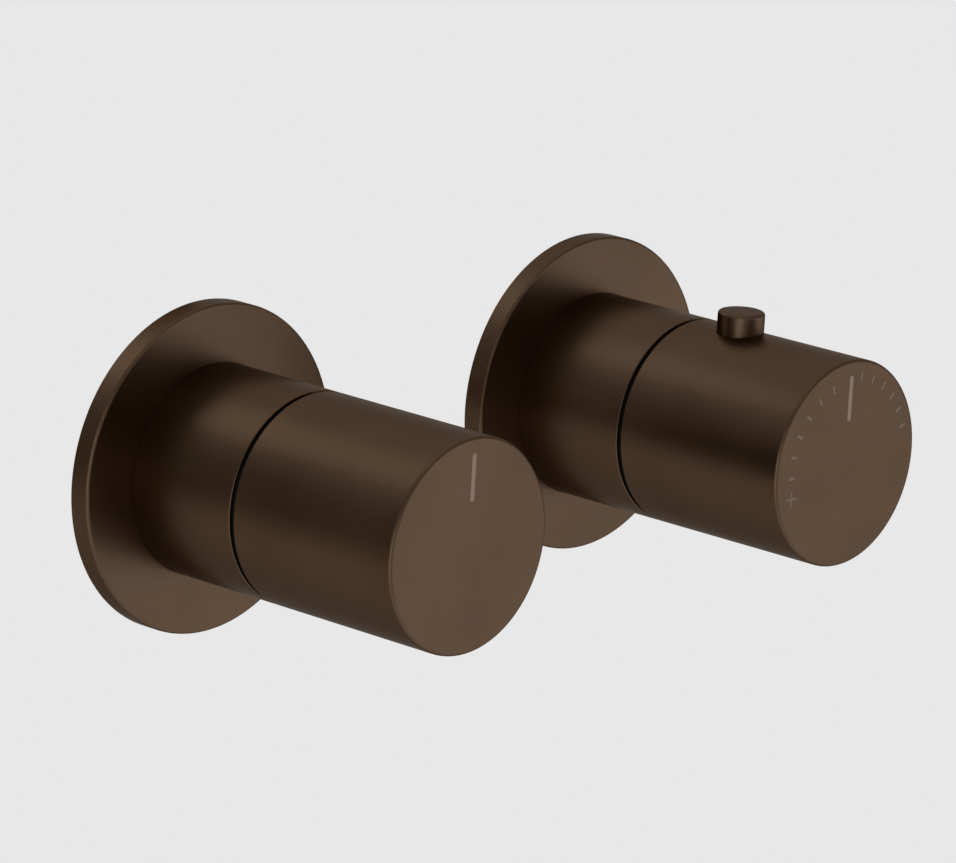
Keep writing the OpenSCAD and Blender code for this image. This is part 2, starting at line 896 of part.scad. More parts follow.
// Strainer disc under the check valve: a rim and a pierced web
module filter_shape() {
    difference() {
        union() {
            tube(filter_seat_r - seat_fit, cage_r - filter_rim, -filter_t, 0);
            rod(cage_r - filter_rim / 2, -filter_t, filter_web - filter_t);
        }
        rod(filter_hole_r, -filter_t - over, over);
        for (ring = [1 : filter_rings], i = [0 : 6 * ring - 1])
            rotate([0, 0, 60 * i / ring])
                translate([ring * filter_pitch, 0, -filter_t - over])
                    cylinder(r = filter_hole_r, h = filter_t + 2 * over);
    }
}

module hot_check_cage() { color("dimgray") at_inlet(-1) check_cage_shape(); }
module hot_check_poppet() { color("whitesmoke") at_inlet(-1) check_poppet_shape(); }
module hot_check_spring() { color("silver") at_inlet(-1) check_spring_shape(); }
module hot_filter() { color("gainsboro") at_inlet(-1) filter_shape(); }
module cold_check_cage() { color("dimgray") at_inlet(1) check_cage_shape(); }
module cold_check_poppet() { color("whitesmoke") at_inlet(1) check_poppet_shape(); }
module cold_check_spring() { color("silver") at_inlet(1) check_spring_shape(); }
module cold_filter() { color("gainsboro") at_inlet(1) filter_shape(); }

// Flow side, from the seat outwards

module at_flow() { on_axis(-axis_spacing / 2) children(); }

module seat_seal() {
    color("black")
        at_flow() tube(disc_r, seal_bore_r, seat_z, seat_z + seal_t);
}

// Two opposite ports of a ceramic disc
module disc_ports(from, to, start) {
    for (turn = [0, 180])
        ring_sector(disc_port_in, disc_port_out, start + turn - disc_port_angle / 2, disc_port_angle,
                    from, to);
}

module fixed_ceramic_disc() {
    back = seat_z + seal_t;
    color("white")
        at_flow()
            difference() {
                rod(disc_r, back, back + disc_t);
                disc_ports(back - over, back + disc_t + over, 0);
            }
}

module moving_ceramic_disc() {
    back = seat_z + seal_t + disc_t;
    color("ivory")
        at_flow()
            difference() {
                rod(disc_r, back, back + disc_t);
                disc_ports(back - over, back + disc_t + over, 90);
                translate([-disc_r - over, -tang_w / 2 - seat_fit, back + disc_t - tang_bite])
                    cube([2 * disc_r + 2 * over, tang_w + 2 * seat_fit, tang_bite + over]);
            }
}

module flow_headwork() {
    discs_front = seat_z + seal_t + 2 * disc_t;
    stop_front = spindle_thrust_z - thrust_t;
    stop_back = stop_front - stop_zone;
    hex_back = hex_floor + washer_t;
    color("goldenrod")
        at_flow()
            difference() {
                union() {
                    difference() {
                        union() {
                            rod(headwork_r, seat_z + seat_fit, headwork_thread_back);
                            rod(headwork_thread_r, headwork_thread_back, hex_back + seat_fit);
                            hex_bar(headwork_hex, hex_back, hex_back + hex_t);
                            rod(headwork_neck_r, hex_back + hex_t, headwork_front);
                        }
                        rod(headwork_bore_r, seat_z - over, spindle_thrust_z + seat_fit);
                    }
                    ring_sector(thrust_r + stop_pass, headwork_bore_r + seat_fit,
                                flow_stop_angle / 2 + flow_turn + stop_margin / 2,
                                360 - flow_stop_angle - flow_turn - stop_margin,
                                stop_back, stop_front);
                }
                rod(journal_r + run_fit, seat_z, headwork_front + over);
                for (turn = [0, 180])
                    rotate([0, 0, turn + 90])
                        translate([0, -window_w / 2, discs_front - seat_fit])
                            cube([headwork_r + over, window_w, window_h]);
            }
}

module headwork_washer() {
    color("dimgray")
        at_flow() tube(headwork_hex / 2, headwork_thread_r + seat_fit, hex_floor, hex_floor + washer_t);
}

// Stem with the tang that turns the disc, the stop sector, the thrust collar and two ring grooves
module flow_spindle() {
    tang_back = seat_z + seal_t + 2 * disc_t - tang_bite + seat_fit;
    stop_front = spindle_thrust_z - thrust_t;
    stop_back = stop_front - stop_zone;
    floor_r = journal_r + run_fit - 2 * seal_fit - 2 * spindle_ring_section;
    color("burlywood")
        at_flow()
            difference() {
                union() {
                    intersection() {
                        translate([-tang_len / 2, -tang_w / 2, tang_back])
                            cube([tang_len, tang_w, tang_bite + tang_top]);
                        rod(headwork_bore_r - 2 * run_fit, tang_back, tang_back + tang_bite + tang_top);
                    }
                    rod(journal_r - run_fit, tang_back + tang_bite, spindle_thrust_z);
                    ring_sector(journal_r - 2 * run_fit, stop_out_r,
                                -flow_stop_angle / 2, flow_stop_angle,
                                stop_back, stop_front);
                    rod(thrust_r, stop_front, spindle_thrust_z);
                    rod(journal_r, spindle_thrust_z - seat_fit, headwork_front);
                    spline_bar(spline_r, spline_teeth, spline_depth, headwork_front - over, flow_spline_front);
                }
                for (z = flow_ring_stations)
                    outer_groove(floor_r, journal_r, spindle_ring_section, z);
            }
}

module flow_spindle_seals() {
    color("black")
        at_flow()
            for (z = flow_ring_stations)
                o_ring(journal_r + run_fit - seal_fit - spindle_ring_section, spindle_ring_section, z);
}

// Brass extension that reaches from the headwork's spline to the hub in the knob
module flow_extension() {
    socket_back = headwork_front + socket_depth_gap;
    color("goldenrod")
        at_flow()
            difference() {
                union() {
                    rod(extension_socket_r, socket_back, extension_socket_front);
                    rod(extension_r, extension_socket_front - over, stop_ring_z);
                    spindle_nose(stop_ring_z - over);
                }
                spline_bar(spline_r + seat_fit, spline_teeth, spline_depth, socket_back - over,
                           flow_spline_front + seat_fit);
                translate([0, 0, grub3_z])
                    rotate([-90, 0, 0])
                        rod(grub3_r + seat_fit, 0, extension_socket_r + over);
            }
}

module extension_screw() {
    top = spline_r + seat_fit + grub3_len;
    color("dimgray")
        at_flow()
            translate([0, 0, grub3_z])
                rotate([-90, 0, 0])
                    difference() {
                        rod(grub3_r, top - grub3_len, top);
                        translate([0, 0, top - grub3_len / 2])
                            cylinder(r = grub3_drive_r, h = grub3_len, $fn = hex_sides);
                    }
}

module flow_hub() { color("darkslategray") at_flow() hub_shape(false); }
module flow_hub_screw() { color("silver") at_flow() hub_screw_shape(); }
module flow_grub_screw() { color("dimgray") at_flow() grub_screw_shape(); }
module flow_knob() { color("#5c4a3a") at_flow() knob_shell(); }
module flow_flange() { color("#5c4a3a") at_flow() flange_shape(); }
module flow_wall_gasket() { color("#222222") at_flow() gasket_shape(); }
module flow_sleeve() { color("#5c4a3a") at_flow() sleeve_shape(); }
module flow_sleeve_seals() { color("#222222") at_flow() sleeve_seal_pair(); }
module flow_glide_ring() { color("#111111") at_flow() glide_ring_shape(); }

// Thermostat side, from the back of the cartridge outwards

module at_thermostat() { on_axis(axis_spacing / 2) children(); }

// Ported brass sleeve: hot ports at the back seat, cold ports at the front seat, mixed water leaves
// through the open back end
module cartridge_sleeve() {
    hot_groove_back = hot_seat_z - seat_lip;
    hot_groove_front = hot_seat_z + groove_span;
    cold_groove_back = cold_seat_z - groove_span;
    cold_groove_front = cold_seat_z + groove_span;
    ring_floor = cartridge_bore_r - 2 * seal_fit - 2 * cartridge_ring_section;
    color("peru")
        at_thermostat()
            difference() {
                rotate_extrude()
                    polygon([
                        [spring_seat_r, cartridge_back], [cartridge_r, cartridge_back],
                        [cartridge_r, cartridge_front], [guide_bore_r, cartridge_front],
                        [guide_bore_r, cold_groove_front], [port_groove_r, cold_groove_front],
                        [port_groove_r, cold_groove_back], [guide_bore_r, cold_groove_back],
                        [guide_bore_r, hot_groove_front], [port_groove_r, hot_groove_front],
                        [port_groove_r, hot_groove_back], [guide_bore_r, hot_groove_back],
                        [guide_bore_r, hot_seat_z], [seat_inner_r, hot_seat_z],
                        [seat_inner_r, spring_seat_z], [spring_seat_r, spring_seat_z]
                    ]);
                for (z = cartridge_ring_stations)
                    outer_groove(ring_floor, cartridge_r, cartridge_ring_section, z);
                for (z = [hot_seat_z, cold_seat_z], i = [0 : cartridge_port_count - 1])
                    translate([0, 0, z])
                        rotate([0, 90, 360 * (i + 1 / 2) / cartridge_port_count])
                            rod(cartridge_port_r, port_groove_r - over / 2, cartridge_r + over);
            }
}

module cartridge_seals() {
    color("black")
        at_thermostat()
            for (z = cartridge_ring_stations)
                o_ring(cartridge_bore_r - seal_fit - cartridge_ring_section, cartridge_ring_section, z);
}

// Brass head: cold seat and hexagonal guide at the back, a flange that the nut clamps, and a long
// column whose splined end holds the stop ring
module cartridge_head() {
    flange_front = head_flange_back + head_flange_t;
    column_end = stop_ring_z + stop_ring_t + clip_t + clip_rise / 2;
    color("goldenrod")
        at_thermostat()
            difference() {
                union() {
                    difference() {
                        union() {
                            rod(head_skirt_r, cold_seat_z, head_flange_back);
                            rod(cartridge_r, head_flange_back, flange_front);
                            rod(head_column_r, flange_front, head_column_front);
                            spline_bar(head_spline_r, head_spline_teeth, head_spline_depth,
                                       head_column_front - over, column_end);
                        }
                        rod(seat_inner_r, cold_seat_z - over, hex_bore_back);
                        hex_bar(hex_bore, hex_bore_back - over, collar_cavity_back);
                        rod(collar_cavity_r, collar_cavity_back - seat_fit, collar_cavity_front);
                    }
                    ring_sector(spindle_collar_r + run_fit, collar_cavity_r + seat_fit,
                                spindle_lug_angle / 2 + temperature_hot + stop_margin / 2,
                                360 - spindle_lug_angle - temperature_turn - stop_margin,
                                collar_cavity_back, collar_cavity_front + seat_fit);
                }
                rod(journal_r + run_fit, collar_cavity_back, column_end + over);
                tube(head_spline_r + over, head_spline_r - clip_bite, stop_ring_z + stop_ring_t,
                     stop_ring_z + stop_ring_t + clip_t);
            }
}

module cartridge_nut() {
    back = head_flange_back + head_flange_t;
    color("goldenrod")
        at_thermostat()
            difference() {
                union() {
                    rod(nut_thread_r, back, back + nut_thread_len);
                    hex_bar(nut_hex, back + nut_thread_len - over, back + nut_thread_len + nut_hex_len);
                }
                rod(nut_bore_r, back - over, back + nut_thread_len + nut_hex_len + over);
            }
}

// Splined stem whose screw end drives the regulating nut
module thermostat_spindle() {
    floor_r = journal_r + run_fit - 2 * seal_fit - 2 * spindle_ring_section;
    journal_front = stop_ring_z + stop_ring_t;
    color("burlywood")
        at_thermostat()
            difference() {
                union() {
                    rod(thread_r, thread_end, collar_cavity_back + over);
                    rod(spindle_collar_r, collar_cavity_back + run_fit, collar_cavity_front - seat_fit);
                    ring_sector(spindle_collar_r - run_fit, spindle_lug_r,
                                -spindle_lug_angle / 2, spindle_lug_angle,
                                collar_cavity_back + run_fit, collar_cavity_front - seat_fit);
                    rod(journal_r, collar_cavity_front - over, journal_front);
                    spindle_nose(journal_front - over);
                }
                for (z = temperature_ring_stations)
                    outer_groove(floor_r, journal_r, spindle_ring_section, z);
            }
}

module thermostat_spindle_seals() {
    color("black")
        at_thermostat()
            for (z = temperature_ring_stations)
                o_ring(journal_r + run_fit - seal_fit - spindle_ring_section, spindle_ring_section, z);
}

// Hexagonal nut that slides in the head without turning, with a cup for the overload spring
module regulating_nut() {
    color("beige")
        at_thermostat()
            difference() {
                hex_bar(hex_bore - hex_play, nut_back, nut_front);
                rod(thread_r + run_fit, nut_back, nut_front + over);
                rod(nut_cup_r, nut_back + nut_lip_t, nut_cup_z);
                rod(nut_lip_r, nut_back - over, nut_cup_z);
            }
}

module overload_cap() {
    back = nut_back + nut_lip_t;
    color("whitesmoke")
        at_thermostat() rod(nut_cup_r - run_fit, back, back + cap_t);
}

module overload_spring() {
    color("silver")
        at_thermostat()
            spring(overload_coil_r, overload_wire, overload_turns, nut_back + nut_lip_t + cap_t, nut_cup_z);
}

// Sealed wax element: pin, guide, flange and copper bulb
module wax_element() {
    flange_back = element_flange_front - element_flange_t;
    color("sienna")
        at_thermostat() {
            rod(pin_r, pin_back - over, nut_back + nut_lip_t);
            rod(guide_r, element_flange_front - over, pin_back);
            rod(element_flange_r, flange_back, element_flange_front);
            rounded_rod(bulb_r, bulb_back, flange_back + over, over, 0);
        }
}

// Slide that opens one seat as it closes the other
module mixing_shuttle() {
    back = hot_seat_z + hot_opening;
    front = cold_seat_z - cold_opening;
    web_front = element_flange_front - element_flange_t;
    ring_z = web_front - shuttle_web_t / 2;
    ring_floor = guide_bore_r - 2 * seal_fit - 2 * shuttle_ring_section;
    color("whitesmoke")
        at_thermostat()
            difference() {
                union() {
                    tube(shuttle_r, shuttle_bore_r, back, front);
                    tube(shuttle_r - run_fit, bulb_hole_r, web_front - shuttle_web_t, web_front);
                }
                for (i = [0 : web_port_count - 1])
                    rotate([0, 0, 360 * i / web_port_count])
                        translate([(element_flange_r + shuttle_bore_r) / 2 - web_port_r / 2, 0, back])
                            rod(web_port_r, 0, front - back);
                outer_groove(ring_floor, shuttle_r, shuttle_ring_section, ring_z);
            }
}

module shuttle_seal() {
    ring_z = element_flange_front - element_flange_t - shuttle_web_t / 2;
    color("black")
        at_thermostat()
            o_ring(guide_bore_r - seal_fit - shuttle_ring_section, shuttle_ring_section, ring_z);
}

module return_spring() {
    web_back = element_flange_front - element_flange_t - shuttle_web_t;
    color("silver")
        at_thermostat() spring(return_coil_r, return_wire, return_turns, spring_seat_z, web_back);
}

// Plastic ring on the head's spline: its lug holds the button's dog at 38 degrees
module stop_ring() {
    color("firebrick")
        at_thermostat()
            difference() {
                union() {
                    rod(stop_ring_r, stop_ring_z, stop_ring_z + stop_ring_t);
                    translate([-dog_w / 2 - lug_gap - lug_w, lug_inner_r, stop_ring_z])
                        cube([lug_w, stop_ring_r - lug_inner_r - lug_gap, lug_tip - stop_ring_z]);
                }
                spline_bar(head_spline_r + seat_fit, head_spline_teeth, head_spline_depth,
                           stop_ring_z - over, stop_ring_z + stop_ring_t + over);
            }
}

module stop_ring_clip() {
    back = stop_ring_z + stop_ring_t;
    color("silver")
        at_thermostat()
            difference() {
                tube(head_spline_r + clip_rise, head_spline_r - clip_bite + seat_fit, back, back + clip_t);
                translate([-clip_mouth / 2, 0, back - over])
                    cube([clip_mouth, head_spline_r + clip_rise + over, clip_t + 2 * over]);
            }
}

module temperature_hub() { color("darkslategray") at_thermostat() hub_shape(true); }
module temperature_hub_screw() { color("silver") at_thermostat() hub_screw_shape(); }
module temperature_grub_screw() { color("dimgray") at_thermostat() grub_screw_shape(); }
module temperature_flange() { color("#5c4a3a") at_thermostat() flange_shape(); }
module temperature_wall_gasket() { color("#222222") at_thermostat() gasket_shape(); }
module temperature_sleeve() { color("#5c4a3a") at_thermostat() sleeve_shape(); }
module temperature_sleeve_seals() { color("#222222") at_thermostat() sleeve_seal_pair(); }
module temperature_glide_ring() { color("#111111") at_thermostat() glide_ring_shape(); }

module temperature_knob() {
    color("#5c4a3a")
        at_thermostat()
            difference() {
                knob_shell();
                translate([0, 0, button_z])
                    rotate([-90, 0, 0])
                        rod(button_r + run_fit, knob_bore_r / 2, knob_r + over);
            }
}

// Cap pushed on the plunger's peg from outside, once the knob is over its hub
module safety_button() {
    color("#5c4a3a")
        at_button()
            difference() {
                rounded_rod(button_r, collar_top, button_top, 0, button_edge);
                rod(peg_r + seat_fit, collar_top - over, collar_top + peg_len + seat_fit);
            }
}

// Plunger under the cap: its collar stays behind the knob's wall and its dog meets the stop ring
module button_plunger() {
    color("whitesmoke")
        at_button() {
            rod(peg_r, collar_top - collar_t / 2, collar_top + peg_len);
            rod(collar_r, collar_bottom, collar_top);
            rod(stem_r, collar_bottom - stem_len, collar_top);
            translate([-dog_w / 2, collar_r / 2, collar_bottom])
                cube([dog_w, dog_len + collar_r / 2, collar_t]);
        }
}

// Places a piece on the button's axis: its own +Z points up out of the knob, and +Y to the wall
module at_button() {
    at_thermostat()
        translate([0, 0, button_z])
            rotate([-90, 0, 0])
                children();
}

module button_spring() {
    color("silver")
        at_button()
            spring(button_coil_r, button_wire, button_turns, spring_well_floor, collar_bottom);
}

valve_body();
mounting_bracket();
bracket_screws();
check_valve_seals();
hot_check_cage();
hot_check_poppet();
hot_check_spring();
hot_filter();
cold_check_cage();
cold_check_poppet();
cold_check_spring();
cold_filter();
flow_headwork();
headwork_washer();
seat_seal();
fixed_ceramic_disc();
moving_ceramic_disc();
flow_spindle();
flow_spindle_seals();
flow_extension();
extension_screw();
flow_hub();
flow_hub_screw();
flow_grub_screw();
flow_knob();
flow_flange();
flow_wall_gasket();
flow_sleeve();
flow_sleeve_seals();
flow_glide_ring();
cartridge_sleeve();
cartridge_seals();
cartridge_head();
cartridge_nut();
thermostat_spindle();
thermostat_spindle_seals();
regulating_nut();
overload_spring();
overload_cap();
wax_element();
mixing_shuttle();
shuttle_seal();
return_spring();
stop_ring();
stop_ring_clip();
temperature_hub();
temperature_hub_screw();
temperature_grub_screw();
temperature_knob();
safety_button();
button_plunger();
button_spring();
temperature_flange();
temperature_wall_gasket();
temperature_sleeve();
temperature_sleeve_seals();
temperature_glide_ring();
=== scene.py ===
import math

import bmesh
import bpy
from mathutils import Matrix, Quaternion, Vector


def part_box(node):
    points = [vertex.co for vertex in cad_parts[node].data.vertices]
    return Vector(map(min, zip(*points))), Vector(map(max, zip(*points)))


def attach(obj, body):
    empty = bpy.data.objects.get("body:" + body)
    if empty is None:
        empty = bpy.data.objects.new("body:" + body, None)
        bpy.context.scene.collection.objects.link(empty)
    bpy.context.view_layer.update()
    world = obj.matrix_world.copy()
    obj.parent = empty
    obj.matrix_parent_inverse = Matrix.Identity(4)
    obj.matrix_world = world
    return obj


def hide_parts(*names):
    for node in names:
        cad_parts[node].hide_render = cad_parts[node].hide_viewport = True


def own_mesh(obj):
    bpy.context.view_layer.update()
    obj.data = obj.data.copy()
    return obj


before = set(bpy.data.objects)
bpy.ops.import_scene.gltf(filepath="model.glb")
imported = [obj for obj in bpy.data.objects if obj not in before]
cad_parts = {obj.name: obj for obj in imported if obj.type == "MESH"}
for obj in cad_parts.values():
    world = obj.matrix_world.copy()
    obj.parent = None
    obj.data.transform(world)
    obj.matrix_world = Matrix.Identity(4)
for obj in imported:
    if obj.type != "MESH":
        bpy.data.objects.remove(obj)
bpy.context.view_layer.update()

# The camera, where the photographer stood: to the left of the valve, a little above it, far back with a
# long lens, and not quite level.
MM = 0.001
camera_place = Vector((-934.5, -885.3, 320.9)) * MM
camera_target = Vector((-15.9, -40.0, 9.5)) * MM
camera_roll = math.radians(3.3)
camera_lens = 234.0
camera_sensor = 36.0

camera_data = bpy.data.cameras.new("camera")
camera_data.lens = camera_lens
camera_data.sensor_width = camera_sensor
camera_data.clip_start = 0.05
camera_data.clip_end = 50.0
camera = bpy.data.objects.new("camera", camera_data)
bpy.context.scene.collection.objects.link(camera)
camera.location = camera_place
camera.rotation_mode = "QUATERNION"
aim = (camera_target - camera_place).to_track_quat("-Z", "Y")
camera.rotation_quaternion = aim @ Quaternion((0, 0, 1), camera_roll)
bpy.context.scene.camera = camera


# The studio: an even pale grey backdrop, and round it the panels and dark flags that the satin metal is lit
# by. Reflections see those, with a small share of the backdrop. One soft lamp is above and one behind.
backdrop_colour = (0.807, 0.807, 0.807, 1)
backdrop_share = 0.06
warm = (1.0, 0.93, 0.80)
warmer = (1.0, 0.70, 0.16)
plain = (1.0, 1.0, 1.0)
back_left = [(-0.80, 0.44, warm), (-0.42, 0.51, warm), (-0.04, 0.13, warmer), (0.28, 0.18, warm),
             (0.76, 0.41, warm)]
back_right = [(-0.80, 0.32, warm), (-0.30, 0.25, warm), (0.20, 0.41, warm), (0.76, 0.68, warm)]
front_across = [(-1.0, 1.42, plain), (-0.75, 1.36, plain), (-0.50, 0.62, warm), (0.10, 0.62, warm),
                (0.50, 1.15, plain), (0.82, 1.15, plain), (1.0, 0.57, plain)]
front_up = [(-0.85, 0.90, plain), (-0.60, 0.90, plain), (0.16, 0.40, warm), (1.0, 0.30, warm)]
# Where one part of the surround fades into the next, as parts of a direction's length along x, y or z
left_to_right = (-0.45, 0.35)
front_to_back = (-0.30, 0.20)
floor_to_panels = (-0.70, -0.45)
flags_to_panels = (0.32, 0.04)


def node_of(tree, kind, **values):
    """A new shader node with its properties and its named inputs set."""
    node = tree.nodes.new(kind)
    for key, value in values.items():
        if key in node.inputs:
            node.inputs[key].default_value = value
        else:
            setattr(node, key, value)
    return node


def join(tree, start, end):
    """Links an output to an input."""
    tree.links.new(end, start)


bpy.context.scene.view_settings.view_transform = "Standard"

world = bpy.data.worlds.new("surround")
world.use_nodes = True
bpy.context.scene.world = world
tree = world.node_tree
tree.nodes.clear()
out = tree.nodes.new("ShaderNodeOutputWorld")
place = tree.nodes.new("ShaderNodeTexCoord")
split = tree.nodes.new("ShaderNodeSeparateXYZ")
join(tree, place.outputs["Generated"], split.inputs[0])


def remap(tree, value, low, high, to_low=0.0, to_high=1.0, interpolation="LINEAR"):
    """Lays the value's low..high onto to_low..to_high."""
    node = node_of(tree, "ShaderNodeMapRange", interpolation_type=interpolation)
    node.inputs["From Min"].default_value = low
    node.inputs["From Max"].default_value = high
    node.inputs["To Min"].default_value = to_low
    node.inputs["To Max"].default_value = to_high
    join(tree, value, node.inputs["Value"])
    return node.outputs["Result"]


def fade(tree, value, ends):
    """0 at the first end and 1 at the second, eased."""
    return remap(tree, value, *ends, interpolation="SMOOTHSTEP")


def surround_ramp(tree, value, stops):
    """Levels over a direction's component from -1 to 1; each stop is its place, its level and its tint."""
    node = tree.nodes.new("ShaderNodeValToRGB")
    ramp = node.color_ramp
    ramp.interpolation = "EASE"
    while len(ramp.elements) < len(stops):
        ramp.elements.new(0.5)
    for element, (at, level, tint) in zip(ramp.elements, stops):
        element.position = (at + 1) / 2
        element.color = tuple(level * t for t in tint) + (1,)
    join(tree, remap(tree, value, -1.0, 1.0), node.inputs["Fac"])
    return node.outputs["Color"]


def blend(tree, fac, first, second):
    """Mixes two colours, each of them a node's output or three numbers."""
    node = node_of(tree, "ShaderNodeMix", data_type="RGBA")
    join(tree, fac, node.inputs["Factor"])
    for socket, colour in zip([s for s in node.inputs if s.type == "RGBA"], (first, second)):
        if isinstance(colour, tuple):
            socket.default_value = colour + (1,)
        else:
            join(tree, colour, socket)
    return [s for s in node.outputs if s.type == "RGBA"][0]


def backdrop_rays(tree):
    """How much of the plain backdrop a ray sees: all of it from the camera, a share of it as a reflection."""
    path = tree.nodes.new("ShaderNodeLightPath")
    straight = node_of(tree, "ShaderNodeMath", operation="MAXIMUM")
    join(tree, path.outputs["Is Camera Ray"], straight.inputs[0])
    join(tree, path.outputs["Is Transmission Ray"], straight.inputs[1])
    shown = node_of(tree, "ShaderNodeMath", operation="MULTIPLY_ADD", use_clamp=True)
    join(tree, path.outputs["Is Glossy Ray"], shown.inputs[0])
    shown.inputs[1].default_value = backdrop_share
    join(tree, straight.outputs[0], shown.inputs[2])
    return shown.outputs[0]


x, y, z = split.outputs["X"], split.outputs["Y"], split.outputs["Z"]
behind = blend(tree, fade(tree, x, left_to_right), surround_ramp(tree, z, back_left),
               surround_ramp(tree, z, back_right))
panels = node_of(tree, "ShaderNodeMath", operation="MULTIPLY")
join(tree, fade(tree, z, floor_to_panels), panels.inputs[0])
join(tree, fade(tree, z, flags_to_panels), panels.inputs[1])
before = blend(tree, panels.outputs[0], surround_ramp(tree, z, front_up),
               surround_ramp(tree, x, front_across))
light = node_of(tree, "ShaderNodeBackground", Strength=1.0)
join(tree, blend(tree, fade(tree, y, front_to_back), before, behind), light.inputs["Color"])
backdrop = node_of(tree, "ShaderNodeBackground", Strength=1.0)
backdrop.inputs["Color"].default_value = backdrop_colour


def show_for(tree, fac, hidden, shown, surface):
    """Shows the second shader as far as fac says, and the first one otherwise."""
    mix = tree.nodes.new("ShaderNodeMixShader")
    join(tree, fac, mix.inputs["Fac"])
    join(tree, hidden.outputs[0], mix.inputs[1])
    join(tree, shown.outputs[0], mix.inputs[2])
    join(tree, mix.outputs[0], surface)


show_for(tree, backdrop_rays(tree), light, backdrop, out.inputs["Surface"])

lamps = [
    # name, place, aim, width, height, watts
    ("lamp_above", (-0.3, -0.4, 1.3), (0.0, -0.03, 0.0), 1.2, 0.9, 1.5),
    ("lamp_behind", (-0.3, 1.2, 0.9), (0.0, 0.05, 0.0), 0.8, 0.8, 1.5),
]
for name, place_at, aim_at, width, tall, watts in lamps:
    data = bpy.data.lights.new(name, "AREA")
    data.shape = "RECTANGLE"
    data.size = width
    data.size_y = tall
    data.energy = watts
    lamp = bpy.data.objects.new(name, data)
    bpy.context.scene.collection.objects.link(lamp)
    lamp.location = place_at
    direction = Vector(aim_at) - Vector(place_at)
    lamp.rotation_mode = "QUATERNION"
    lamp.rotation_quaternion = direction.to_track_quat("-Z", "Y")


# The finished wall that the flanges stand on, and a pale floor below. The wall is thin air from behind, so
# that the body in it can be seen from there, and it lets the lamps' light pass.
wall_set_back = 0.3 * MM
wall_half_width = 0.42
wall_half_height = 0.34


def flat_sheet(name, place):
    """One square face, two metres across and upward, put in its place by the matrix."""
    mesh = bmesh.new()
    bmesh.ops.create_grid(mesh, x_segments=1, y_segments=1, size=1.0, matrix=place)
    data = bpy.data.meshes.new(name)
    mesh.to_mesh(data)
    mesh.free()
    sheet = bpy.data.objects.new(name, data)
    bpy.context.scene.collection.objects.link(sheet)
    return sheet


wall = flat_sheet("wall", Matrix.Translation((0, wall_set_back, 0)) @ Matrix.Rotation(math.pi / 2, 4, "X")
                  @ Matrix.Diagonal((wall_half_width, wall_half_height, 1, 1)))
wall_paint = bpy.data.materials.new("wall_paint")
wall_paint.use_nodes = True
tree = wall_paint.node_tree
tree.nodes.clear()
out = tree.nodes.new("ShaderNodeOutputMaterial")
paint = node_of(tree, "ShaderNodeEmission", Strength=1.0)
paint.inputs["Color"].default_value = backdrop_colour
air = tree.nodes.new("ShaderNodeBsdfTransparent")
side = tree.nodes.new("ShaderNodeNewGeometry")
from_front = remap(tree, side.outputs["Backfacing"], 0.0, 1.0, 1.0, 0.0)
shown = node_of(tree, "ShaderNodeMath", operation="MULTIPLY")
join(tree, backdrop_rays(tree), shown.inputs[0])
join(tree, from_front, shown.inputs[1])
show_for(tree, shown.outputs[0], air, paint, out.inputs["Surface"])
wall.data.materials.append(wall_paint)

floor_drop = -0.40
floor_half = 3.0
floor_glow = (0.46, 0.49, 0.525, 1)
floor = flat_sheet("floor", Matrix.Translation((0, 0, floor_drop)) @ Matrix.Scale(floor_half, 4))
floor_paint = bpy.data.materials.new("floor_paint")
floor_paint.use_nodes = True
tree = floor_paint.node_tree
paint = tree.nodes["Principled BSDF"]
paint.inputs["Base Color"].default_value = backdrop_colour
paint.inputs["Roughness"].default_value = 0.9
paint.inputs["Emission Color"].default_value = floor_glow
paint.inputs["Emission Strength"].default_value = 1.0
air = tree.nodes.new("ShaderNodeBsdfTransparent")
show_for(tree, backdrop_rays(tree), air, paint, tree.nodes["Material Output"].inputs["Surface"])
floor.data.materials.append(floor_paint)


# Knobs, sleeves, flanges and the button's cap: turned brass with a satin dark bronze coating. The lathe
# leaves fine rings round each axis, and the coating is a little uneven in tone and gloss.
bronze_tone = (0.118, 0.076, 0.050)
bronze_deep = (0.098, 0.062, 0.040)


def noise(tree, where, scale, detail, roughness=0.5):
    """Noise of this many waves to the metre."""
    texture = node_of(tree, "ShaderNodeTexNoise", Scale=scale, Detail=detail, Roughness=roughness)
    join(tree, where, texture.inputs["Vector"])
    return texture.outputs["Fac"]


def spread(tree, value, low, high):
    """The value from 0.3..0.7, where noise mostly lies, onto low..high."""
    return remap(tree, value, 0.3, 0.7, low, high)


def bump(tree, shader, height, distance, strength):
    """Raises the surface by the height, which is full at this distance in metres."""
    node = node_of(tree, "ShaderNodeBump", Strength=strength, Distance=distance)
    join(tree, height, node.inputs["Height"])
    join(tree, node.outputs["Normal"], shader.inputs["Normal"])


def new_material(name, metallic):
    """A material with its tree, its shader and the piece's own coordinates in metres."""
    material = bpy.data.materials.new(name)
    material.use_nodes = True
    tree = material.node_tree
    shader = tree.nodes["Principled BSDF"]
    shader.inputs["Metallic"].default_value = metallic
    where = tree.nodes.new("ShaderNodeTexCoord").outputs["Object"]
    return material, tree, shader, where


